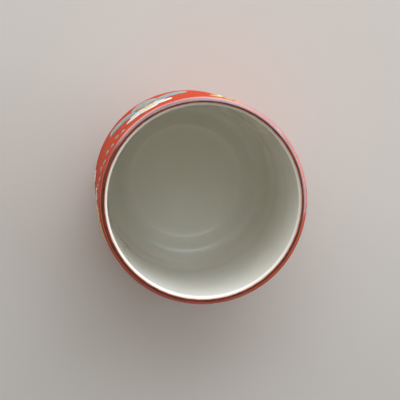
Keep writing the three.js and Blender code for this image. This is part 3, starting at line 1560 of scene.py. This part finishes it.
@dataclass
class WhiteCoats(SubAssembly):
    """The white glaze inside, outside and under the cup."""

    edge: float = 0.06 * MM
    foot_fillet: float = 0.9 * MM
    pool_radius: float = 6.0 * MM
    lean_radius: float = 80.0 * MM
    lean: float = 10.0
    dish_brim: float = 22.8 * MM  # where the floor starts to dip to its shallow middle
    brim_radius: float = 2.5 * MM
    dish_radius: float = 9.0 * MM
    dish_tilt: float = 17.0
    outer_pool: Span = Span(6.5 * MM, 4.0 * MM)

    def build(self) -> None:
        """Turns the three coats from their sections."""
        self.liner = self.build_liner()
        self.outer = self.build_outer()
        self.base = self.build_base()

    def build_liner(self) -> Piece:
        """The coat over the inside and the lip's inner half, pooled in the corner round a dished floor.

        Returns:
            The coat.
        """
        cup = self.sizes
        coat = cup.liner_glaze
        sweep = 180.0 - cup.band_inner_angle
        corner = cup.inner_corner_centre
        pen = Pen("liner_coat", Point(0.0, cup.clay_floor))
        pen.line(Point(corner.x, cup.clay_floor), FLOOR_ROWS)
        pen.arc(corner, 90.0, CORNER_STEPS)
        pen.line(Point(cup.bore, cup.lip_centre.z), WALL_ROWS)
        pen.arc(cup.lip_centre, -sweep, LIP_STEPS)
        pen.line(on_circle(cup.lip_centre, cup.lip_radius + coat, cup.band_inner_angle))
        pen.arc(cup.lip_centre, sweep, LIP_STEPS)
        leaning = Point(cup.bore - coat - self.lean_radius, 0.0)
        foot = on_circle(leaning, self.lean_radius, -self.lean)
        floor = cup.clay_floor + coat
        dip = (self.brim_radius + self.dish_radius) * (1.0 - math.cos(math.radians(self.dish_tilt)))
        brim = Point(self.dish_brim, floor + dip - self.brim_radius)
        dish = on_circle(brim, self.brim_radius + self.dish_radius, 90.0 + self.dish_tilt)
        pool_height = floor + dip + self.pool_radius
        knee = on_circle(Point(0.0, pool_height), self.pool_radius, -self.lean)
        pool = Point(foot.x - knee.x, pool_height)
        pen.line(Point(cup.bore - coat, knee.z - foot.z), WALL_ROWS)
        pen.arc(Point(leaning.x, knee.z - foot.z), -self.lean, LIP_STEPS)
        pen.arc(pool, self.lean - 90.0, CORNER_STEPS)
        pen.line(on_circle(brim, self.brim_radius, 90.0))
        pen.arc(brim, self.dish_tilt, LIP_STEPS)
        pen.arc(dish, -self.dish_tilt, LIP_STEPS)
        return pen.line(Point(0.0, floor), FLOOR_ROWS).turned(self.edge)

    def build_outer(self) -> Piece:
        """The coat over the outside, from below the lip to a fillet on the foot.

        Returns:
            The coat.
        """
        cup = self.sizes
        coat = cup.outer_glaze
        corner = cup.outer_corner_centre
        base = cup.foot_height - coat
        fillet = Point(cup.foot_outer + self.foot_fillet, base - self.foot_fillet)
        pen = Pen("outer_coat", Point(cup.foot_outer, fillet.z))
        pen.arc(fillet, -90.0, LIP_STEPS)
        start = -math.degrees(math.acos((fillet.x - corner.x) / (cup.outer_corner + coat)))
        pen.line(on_circle(corner, cup.outer_corner + coat, start))
        pen.arc(corner, -start, CORNER_STEPS)
        pen.line(Point(cup.body_radius + coat, cup.outer_glaze_top), WALL_ROWS)
        pen.line(Point(cup.body_radius, cup.outer_glaze_top))
        pen.line(Point(cup.body_radius, corner.z), WALL_ROWS)
        pen.arc(corner, -90.0, CORNER_STEPS)
        pen.line(Point(cup.foot_outer, cup.foot_height))
        return pen.line(Point(cup.foot_outer, fillet.z)).turned()

    def build_base(self) -> Piece:
        """The coat under the base, with a fillet up the foot's inside.

        Returns:
            The coat.
        """
        cup = self.sizes
        under = cup.foot_height - cup.base_glaze
        fillet = Point(cup.foot_inner - self.foot_fillet, under - self.foot_fillet)
        pen = Pen("base_coat", Point(0.0, under))
        pen.line(Point(fillet.x, under), FLOOR_ROWS)
        pen.arc(fillet, -90.0, LIP_STEPS)
        pen.line(Point(cup.foot_inner, cup.foot_height))
        return pen.line(Point(0.0, cup.foot_height), FLOOR_ROWS).turned()

    def dress(self) -> None:
        """Glazes the coats, with a deeper pool inside than outside."""
        centre = self.sizes.lip_centre
        inside = WhiteGlaze("Liner Glaze", Slot.WHITE_GLAZE, centre)
        outside = WhiteGlaze("Outer Glaze", Slot.WHITE_GLAZE, centre, halo=0.0, pool=self.outer_pool)
        self.hand_over(self.liner, inside, "liner_glaze")
        self.hand_over(self.outer, outside, "outer_glaze")
        self.hand_over(self.base, outside, "base_glaze")


@dataclass
class BrownLip(SubAssembly):
    """The iron-brown band on the crown of the lip."""

    edge: float = 0.02 * MM

    def build(self) -> None:
        """Turns the band from its section."""
        cup = self.sizes
        shape = cup.lip_shape
        start = on_circle(shape.bevel_centre, shape.bevel_radius, shape.seam)
        pen = Pen("lip_coat", start)
        pen.arc(shape.bevel_centre, shape.bevel_end - shape.seam, LIP_STEPS)
        pen.arc(shape.crown_centre, 90.0 - shape.bevel_end, LIP_STEPS)
        pen.arc(shape.lip_centre, cup.band_inner_angle - 90.0, LIP_STEPS)
        pen.line(on_circle(cup.lip_centre, cup.lip_radius, cup.band_inner_angle))
        pen.arc(cup.lip_centre, cup.band_outer_angle - cup.band_inner_angle, 2 * LIP_STEPS)
        self.band = pen.line(start).turned(self.edge)

    def dress(self) -> None:
        """Glazes the band."""
        cup = self.sizes
        finish = IronGlaze(
            "Iron Glaze", Slot.IRON_GLAZE, lip_centre=cup.lip_centre, inner_edge=cup.band_inner_angle
        )
        self.hand_over(self.band, finish, "lip_band")


@dataclass
class RedCoat(SubAssembly):
    """The red enamel over the outside, up to the brown of the lip."""

    edge: float = 0.02 * MM
    lip_under: float = 0.15 * MM  # from the lip's clay out to the red's hidden side

    def build(self) -> None:
        """Turns the coat from its section."""
        cup = self.sizes
        shape = cup.lip_shape
        corner = cup.outer_corner_centre
        hidden = cup.body_radius + cup.outer_glaze
        start = on_circle(corner, cup.red_radius - corner.x, -cup.red_end_angle)
        pen = Pen("red_coat", start)
        pen.arc(corner, cup.red_end_angle, CORNER_STEPS)
        pen.line(Point(cup.red_radius, shape.brow_centre.z), WALL_ROWS)
        pen.arc(shape.brow_centre, shape.bevel_start, LIP_STEPS)
        pen.arc(shape.bevel_centre, shape.seam - shape.seam_gap - shape.bevel_start, LIP_STEPS)
        pen.line(on_circle(cup.lip_centre, cup.lip_radius + self.lip_under, cup.band_outer_angle))
        pen.arc(cup.lip_centre, -cup.band_outer_angle, LIP_STEPS)
        pen.line(Point(hidden, cup.outer_glaze_top))
        pen.line(Point(hidden, corner.z), WALL_ROWS)
        pen.arc(corner, -cup.red_end_angle, CORNER_STEPS)
        self.coat = pen.line(start).turned(self.edge)

    def dress(self) -> None:
        """Brushes the red on."""
        self.hand_over(self.coat, RedEnamel("Red Enamel", Slot.RED_ENAMEL), "red_ground")


@dataclass(frozen=True)
class Layout:
    """Where the sprays stand round the cup, and how far their enamel sinks into the red."""

    sprays: int = 3
    first_angle: float = 120.0
    sunk: float = 0.03 * MM

    def angles(self, offset: float = 0.0) -> list[float]:
        """The angle of each spray, turned by an offset."""
        return [self.first_angle + offset + 360.0 * i / self.sprays for i in range(self.sprays)]


@dataclass
class Motifs(SubAssembly):
    """Raised enamels that are modelled flat and laid on the red."""

    layout: Layout

    def lay_on(self, model: Piece, drop: float = 0.0) -> None:
        """Wraps a flat model round the red, with its origin a drop below the lip."""
        wrap(model, self.sizes.red_radius - self.layout.sunk, self.sizes.lip_top - drop)


@dataclass(frozen=True)
class Heart:
    """The raised middle of a blossom, with a ring of dots round it."""

    radius: float
    rise: float
    dots: int
    dot_ring: float
    dot_radius: float
    dot_lift: float


@dataclass
class Blossoms(Motifs):
    """Raised blossoms, one to a spray: a ring of round petals about a heart."""

    finish: CupFinish
    heart_finish: CupFinish
    name: str
    petals: int
    petal_radius: float
    lap: float
    drop: float
    offset: float
    relief: Relief
    heart: Heart

    def build(self) -> None:
        """Models one blossom and copies it to every spray."""
        self.flowers = self.set_out(self.build_petals(), "petals")
        self.hearts = self.set_out(self.build_heart(), "heart")

    def set_out(self, model: Piece, word: str) -> list[Piece]:
        """Lays a flat model on every spray, and names the copies after the blossom and a word."""
        self.lay_on(model, self.drop)
        return set_round(model, f"{self.name}_{word}", self.layout.angles(self.offset))

    def build_petals(self) -> Piece:
        """The ring of petals, flat, with one petal at the top.

        Returns:
            The ring.
        """
        half = math.pi / self.petals
        reach = (self.petal_radius - self.lap / 2) / math.sin(half)
        clear_selection()
        bpy.ops.mesh.primitive_circle_add(
            vertices=PETAL_STEPS,
            radius=self.petal_radius,
            fill_type="NGON",
            calc_uvs=False,
            location=(0.0, 0.0, reach),
            rotation=(math.pi / 2, 0.0, 0.0),
        )
        petal = added("petal")
        settle(petal)
        for side in (-1, 1):
            away = math.pi / 2 + side * (half + math.pi / 2)
            cut(petal, (0.0, 0.0, 0.0), (math.cos(away), 0.0, math.sin(away)), clear_outer=True)
        self.relief.build_up(petal, Point(0.0, reach))
        lay_flat_map(petal)
        step = 360.0 / self.petals
        others = [turn(copy_of(petal, "petal"), Turn.ABOUT_Y, step * i) for i in range(1, self.petals)]
        ring = join([petal, *others], self.name)
        smooth(ring)
        return ring

    def build_heart(self) -> Piece:
        """The heart and its ring of dots, flat.

        Returns:
            The heart.
        """
        heart = self.heart
        dome = enamel_drop("heart", heart.radius, heart.rise)
        dots = enamel_drop("dots", heart.dot_radius, heart.dot_radius)
        move(dots, (0.0, -heart.dot_lift, heart.dot_ring))
        spin_ring(dots, heart.dots)
        return join([dome, dots], "heart")

    def dress(self) -> None:
        """Enamels the petals and the hearts."""
        for i, (flower, heart) in enumerate(zip(self.flowers, self.hearts), start=1):
            self.hand_over(flower, self.finish, f"{self.name}_{i}")
            self.hand_over(heart, self.heart_finish)


@dataclass
class WhiteBlossoms(Blossoms):
    """The white blossoms, with broad petals that dip towards their middles."""

    name: str = "white_blossom"
    petals: int = 5
    petal_radius: float = 4.2 * MM
    lap: float = 1.6 * MM
    drop: float = 21.0 * MM
    offset: float = 0.0
    relief: Relief = Relief(
        (
            Ring(0.985, 0.2),
            Ring(0.955, 0.3),
            Ring(0.9, 0.37),
            Ring(0.8, 0.41),
            Ring(0.62, 0.4),
            Ring(0.4, 0.36),
            Ring(0.18, 0.33),
        )
    )
    heart: Heart = Heart(
        radius=1.7 * MM,
        rise=0.62 * MM,
        dots=12,
        dot_ring=2.9 * MM,
        dot_radius=0.34 * MM,
        dot_lift=0.34 * MM,
    )


@dataclass
class YellowBlossoms(Blossoms):
    """The yellow blossoms, with small domed petals."""

    name: str = "yellow_blossom"
    petals: int = 8
    petal_radius: float = 2.1 * MM
    lap: float = 0.8 * MM
    drop: float = 12.5 * MM
    offset: float = -45.0
    relief: Relief = Relief(
        (Ring(0.97, 0.2), Ring(0.9, 0.31), Ring(0.77, 0.38), Ring(0.55, 0.42), Ring(0.28, 0.44)),
        line_width=0.18 * MM,
    )
    heart: Heart = Heart(
        radius=2.3 * MM,
        rise=0.36 * MM,
        dots=9,
        dot_ring=1.5 * MM,
        dot_radius=0.26 * MM,
        dot_lift=0.22 * MM,
    )


@dataclass
class Leaves(Motifs):
    """Three raised leaves under each white blossom, and the stems that carry them."""

    finish: CupFinish
    stem_finish: CupFinish
    relief: Relief = Relief(
        (
            Ring(0.985, 0.18),
            Ring(0.95, 0.29),
            Ring(0.88, 0.36),
            Ring(0.74, 0.41),
            Ring(0.5, 0.44),
            Ring(0.25, 0.45),
        )
    )
    length: float = 26.0 * MM
    width: float = 11.0 * MM
    side_tilt: float = 27.0
    side_turn: float = 17.0
    middle_drop: float = 51.0 * MM
    side_drop: float = 46.0 * MM
    groove: float = 0.14 * MM
    groove_half_width: float = 0.3 * MM
    stem_radius: float = 0.42 * MM
    stem_rise: float = 0.8  # share of its radius that a stem stands up
    stem_drop: float = 28.5 * MM  # from the lip down to the middle stem
    stem_handles: Span = Span(32.0 * MM, 35.0 * MM)
    stem_lap: float = 0.6 * MM  # how far the middle stem runs under its leaf
    fork_drop: float = 30.5 * MM
    fork_half_width: float = 0.1 * MM
    fork_reach: Point = Point(1.0 * MM, 2.0 * MM)  # from the fork to a side stem's first handle
    tip_reach: Point = Point(1.6 * MM, 2.6 * MM)  # from a side leaf's tip to the last handle

    def build(self) -> None:
        """Models one leaf and one spray's stems and copies them to every spray."""
        leaf = self.build_leaf()
        self.leaves: list[Piece] = []
        for spray in self.layout.angles():
            for side in (-1, 0, 1):
                made = copy_of(leaf, f"leaf_{len(self.leaves) + 1}")
                turn(made, Turn.ABOUT_Y, -side * self.side_tilt)
                self.lay_on(made, self.side_drop if side else self.middle_drop)
                self.leaves.append(at_angle(made, spray + side * self.side_turn))
        bpy.data.objects.remove(leaf)
        stems = self.build_stems()
        self.lay_on(stems)
        self.stems = join(set_round(stems, "stem", self.layout.angles()), "stems")

    def build_leaf(self) -> Piece:
        """One leaf, flat and upright: a pointed oval with a groove along its rib.

        Returns:
            The leaf.
        """
        tall = self.length / 2
        wide = self.width / 2
        radius = (tall**2 + wide**2) / (2 * wide)
        sweep = 2 * math.degrees(math.asin(tall / radius))
        pen = Pen("leaf", Point(0.0, -tall))
        pen.arc(Point(wide - radius, 0.0), sweep, LEAF_STEPS)
        pen.arc(Point(radius - wide, 0.0), sweep, LEAF_STEPS)
        leaf = pen.filled()
        self.relief.build_up(leaf, Point(0.0, 0.0))
        for across in (-self.groove_half_width, 0.0, self.groove_half_width):
            cut_upright(leaf, across)
        rib = set()
        for vertex in leaf.data.vertices:
            raised = vertex.co.y < -2 * self.relief.line_rise
            if raised and abs(vertex.co.x) < MERGE_DISTANCE:
                rib.add(vertex.index)
        edit_some(leaf, rib)
        bpy.ops.transform.translate(value=(0.0, self.groove, 0.0))
        close_edit()
        lay_flat_map(leaf)
        smooth(leaf, LEAF_SHARP_ANGLE)
        return leaf

    def build_stems(self) -> Piece:
        """The stems of one spray, flat, with heights counted down from the lip.

        Returns:
            The stems.
        """
        tall = self.length / 2
        lean = math.radians(self.side_tilt)
        tip_across = self.sizes.red_radius * math.radians(self.side_turn) - tall * math.sin(lean)
        tip_up = tall * math.cos(lean) - self.side_drop
        middle_tip = tall - self.middle_drop - self.stem_lap
        heights = (-self.stem_drop, -self.stem_handles.start, -self.stem_handles.end, middle_tip)
        stems = [self.stem(*(Point(0.0, height) for height in heights))]
        for side in (-1, 1):
            fork = Point(side * self.fork_half_width, -self.fork_drop)
            away = Point(side * self.fork_reach.x, fork.z - self.fork_reach.z)
            end = Point(side * tip_across, tip_up)
            back = Point(end.x - side * self.tip_reach.x, end.z + self.tip_reach.z)
            stems.append(self.stem(fork, away, back, end))
        return join(stems, "stems")

    def stem(self, start: Point, away: Point, back: Point, end: Point) -> Piece:
        """One stem as a flattened tube along a curve.

        Args:
            start: Where it starts.
            away: Where it heads for at first.
            back: Where it comes from at last.
            end: Where it ends.

        Returns:
            The stem as a mesh.
        """
        clear_selection()
        bpy.ops.curve.primitive_bezier_curve_add()
        curve = bpy.context.object
        curve.data.resolution_u = STEM_STEPS
        curve.data.bevel_depth = self.stem_radius
        curve.data.bevel_resolution = STEM_SIDES
        curve.data.use_fill_caps = True
        knots = curve.data.splines[0].bezier_points
        for knot, before, middle, after in zip(knots, (start, back), (start, end), (away, end)):
            knot.handle_left_type = "FREE"
            knot.handle_right_type = "FREE"
            knot.co = (middle.x, 0.0, middle.z)
            knot.handle_left = (before.x, 0.0, before.z)
            knot.handle_right = (after.x, 0.0, after.z)
        bpy.ops.object.convert(target="MESH")
        stem = added("stem")
        stem.scale.y = self.stem_rise
        settle(stem)
        smooth(stem, DROP_SHARP_ANGLE)
        return stem

    def dress(self) -> None:
        """Enamels the leaves and the stems."""
        for i, leaf in enumerate(self.leaves, start=1):
            self.hand_over(leaf, self.finish, f"teal_leaf_{i}")
        self.hand_over(self.stems, self.stem_finish)


class DotRow(NamedTuple):
    """A row of dots beside each spray: its drop from the lip, its start, its sweep and its count."""

    drop: float
    start: float
    sweep: float
    dots: int


class Spot(NamedTuple):
    """A rosette's place beside each spray: its drop from the lip and its turn."""

    drop: float
    turn: float


@dataclass
class Dots(Motifs):
    """Small drops of enamel: staggered rows beside the sprays, and rosettes on the open ground."""

    row_finish: CupFinish
    finish: CupFinish
    heart_finish: CupFinish
    rows: tuple[DotRow, ...] = (
        DotRow(drop=9.5 * MM, start=19.0, sweep=40.0, dots=5),
        DotRow(drop=16.5 * MM, start=24.0, sweep=30.0, dots=4),
    )
    row_radius: float = 1.1 * MM
    rise: float = 0.4 * MM
    rosette_dots: int = 5
    rosette_ring: float = 1.75 * MM
    rosette_radius: float = 0.75 * MM
    spots: tuple[Spot, ...] = (
        Spot(drop=30.0 * MM, turn=-60.0),
        Spot(drop=44.0 * MM, turn=-48.0),
        Spot(drop=60.0 * MM, turn=-66.0),
    )

    def build(self) -> None:
        """Models the rows and one rosette and copies them round the cup."""
        copies = []
        for row in self.rows:
            copies += set_round(self.build_row(row), "row", self.layout.angles(row.start))
        self.row_dots = join(copies, "dot_rows")
        petals = enamel_drop("petals", self.rosette_radius, self.rise)
        move(petals, (0.0, 0.0, self.rosette_ring))
        spin_ring(petals, self.rosette_dots)
        self.petals = self.scatter(petals, "rosette_dots")
        heart = enamel_drop("heart", self.rosette_radius, self.rise)
        self.hearts = self.scatter(heart, "rosette_hearts")

    def build_row(self, row: DotRow) -> Piece:
        """One row of dots, from angle -90 on.

        Args:
            row: The row's sizes.

        Returns:
            The row.
        """
        dots = enamel_drop("dots", self.row_radius, self.rise)
        move(dots, (0.0, self.layout.sunk - self.sizes.red_radius, self.sizes.lip_top - row.drop))
        spin_copies(dots, row.dots, row.sweep, CUP_AXIS)
        return dots

    def scatter(self, model: Piece, name: str) -> Piece:
        """Copies a flat model to the place of every rosette.

        Args:
            model: The flat model, which is used up.
            name: The name of the copies together.

        Returns:
            The copies as one object.
        """
        copies = []
        for spot in self.spots:
            made = copy_of(model, name)
            self.lay_on(made, spot.drop)
            copies += set_round(made, name, self.layout.angles(spot.turn))
        bpy.data.objects.remove(model)
        return join(copies, name)

    def dress(self) -> None:
        """Enamels the dots."""
        self.hand_over(self.row_dots, self.row_finish)
        self.hand_over(self.petals, self.finish)
        self.hand_over(self.hearts, self.heart_finish)


# Studio


@dataclass(frozen=True)
class SoftLight:
    """A soft panel that looks at the cup's mouth and stays out of the picture."""

    name: str
    angle: float
    lift: float
    distance: float
    width: float
    height: float
    power: float
    colour: Triple = (0.79, 0.86, 0.99)  # daylight
    spread: float = 110.0

    def build(self, target: Vector) -> None:
        """Sets the lamp up.

        Args:
            target: What it looks at.
        """
        turned = math.radians(self.angle)
        lifted = math.radians(self.lift)
        level = math.cos(lifted)
        back = Vector((level * math.cos(turned), level * math.sin(turned), math.sin(lifted)))
        bpy.ops.object.light_add(type="AREA", location=target + back * self.distance)
        lamp = added(self.name)
        lamp.rotation_euler = back.to_track_quat("Z", "Y").to_euler()
        lamp.data.shape = "RECTANGLE"
        lamp.data.size = self.width
        lamp.data.size_y = self.height
        lamp.data.energy = self.power
        lamp.data.color = self.colour
        lamp.data.spread = math.radians(self.spread)
        lamp.visible_camera = False


@dataclass
class Studio:
    """The floor, the lights, the surroundings and the camera."""

    sizes: CupSizes
    eye: Triple = (-46.4 * MM, 53.4 * MM, 504.0 * MM)  # from the centre of the mouth
    aim: Triple = (-1.3 * MM, 0.55 * MM, 0.0)
    lens: float = 133.5 * MM
    sensor: float = 36.0 * MM
    floor_size: float = 6.0
    floor_gap: float = 0.02 * MM
    light_side: Colour = srgb(186, 186, 186)
    far_side: Colour = srgb(128, 126, 124)
    zenith: Colour = srgb(120, 118, 115)
    side_span: Span = Span(-0.7, 0.7)  # from the far side to the light side
    zenith_span: Span = Span(0.35, 0.9)
    lights: tuple[SoftLight, ...] = (
        SoftLight("key_light", angle=67.0, lift=18.5, distance=1.2, width=1.6, height=0.96, power=7.5),
        SoftLight("high_light", angle=90.0, lift=58.0, distance=1.4, width=0.8, height=0.6, power=1.75),
        SoftLight(
            "left_light",
            angle=125.0,
            lift=20.0,
            distance=1.3,
            width=1.0,
            height=0.9,
            power=2.55,
            colour=(0.84, 0.88, 1.0),
        ),
        SoftLight("right_light", angle=12.0, lift=18.0, distance=1.3, width=1.2, height=0.84, power=2.95),
        SoftLight("fill_light", angle=262.0, lift=-2.2, distance=1.1, width=2.0, height=0.07, power=0.9),
    )

    def build(self) -> None:
        """Sets up the studio round the cup."""
        mouth = Vector((0.0, 0.0, self.sizes.lip_top))
        self.build_floor()
        self.build_world()
        self.build_camera(mouth)
        for light in self.lights:
            light.build(mouth)
        bpy.context.scene.view_settings.view_transform = "Standard"

    def build_floor(self) -> None:
        """The pale floor."""
        clear_selection()
        bpy.ops.mesh.primitive_plane_add(size=self.floor_size, location=(0.0, 0.0, -self.floor_gap))
        floor = added("floor")
        settle(floor)
        floor.data.materials.append(StudioPaper("Studio Paper").material())

    def build_world(self) -> None:
        """Soft surroundings, brighter on the side of the key light."""
        world = bpy.data.worlds.new("surroundings")
        world.use_nodes = True
        wiring = Wiring(world.node_tree)
        x, y, z = wiring.split(wiring.add("ShaderNodeTexCoord").outputs["Generated"])
        key = math.radians(self.lights[0].angle)
        along = wiring.mixed(x, math.cos(key), y, math.sin(key))
        level = wiring.blend(wiring.fade(along, self.side_span), self.far_side, self.light_side)
        colour = wiring.blend(wiring.fade(z, self.zenith_span), level, self.zenith)
        wiring.feed(world.node_tree.nodes["Background"].inputs["Color"], colour)
        bpy.context.scene.world = world

    def build_camera(self, mouth: Vector) -> None:
        """A camera above the cup that looks into its mouth, with +Y up in the picture.

        Args:
            mouth: The centre of the mouth.
        """
        eye = Vector(self.eye)
        back = (eye - Vector(self.aim)).normalized()
        right = Vector((0.0, 1.0, 0.0)).cross(back).normalized()
        axes = Matrix((right, back.cross(right), back)).transposed()
        bpy.ops.object.camera_add(location=mouth + eye, rotation=axes.to_euler())
        camera = added("camera")
        camera.data.lens = self.lens / MM
        camera.data.sensor_width = self.sensor / MM
        bpy.context.scene.camera = camera


def cup_parts(sizes: CupSizes) -> list[SubAssembly]:
    """The cup's sub-assemblies, in the order that they are made.

    Args:
        sizes: The cup's sizes.

    Returns:
        The sub-assemblies.
    """

    def enamel(name: str, slot: Slot, tones: Tones, drawing: Drawing = Drawing.PLAIN) -> RaisedEnamel:
        """A raised enamel on the red."""
        return RaisedEnamel(name, slot, tones, drawing, sizes.red_radius)

    layout = Layout()
    white = enamel("White Enamel", Slot.WHITE_ENAMEL, Tones.WHITE, Drawing.PETAL)
    white_drops = enamel("White Drops", Slot.WHITE_ENAMEL, Tones.WHITE)
    yellow = enamel("Yellow Enamel", Slot.YELLOW_ENAMEL, Tones.YELLOW, Drawing.PETAL)
    yellow_drops = enamel("Yellow Drops", Slot.YELLOW_ENAMEL, Tones.YELLOW)
    teal = enamel("Teal Enamel", Slot.TEAL_ENAMEL, Tones.TEAL, Drawing.LEAF)
    teal_drops = enamel("Teal Drops", Slot.TEAL_ENAMEL, Tones.TEAL)
    brown_drops = enamel("Brown Drops", Slot.IRON_GLAZE, Tones.BROWN)
    return [
        Clay(sizes),
        WhiteCoats(sizes),
        BrownLip(sizes),
        RedCoat(sizes),
        WhiteBlossoms(sizes, layout, white, yellow_drops),
        YellowBlossoms(sizes, layout, yellow, brown_drops),
        Leaves(sizes, layout, teal, teal_drops),
        Dots(sizes, layout, teal_drops, white_drops, yellow_drops),
    ]


def main() -> None:
    """Builds the studio and the cup, and reports each piece."""
    logging.basicConfig(level=logging.INFO, format="%(message)s")
    sizes = CupSizes.from_frame()
    Studio(sizes).build()
    for part in cup_parts(sizes):
        part.build()
        part.dress()
        for piece in part.pieces:
            log.info("%s: %s, %d faces", type(part).__name__, piece.name, len(piece.data.polygons))


if __name__ == "__main__":
    main()
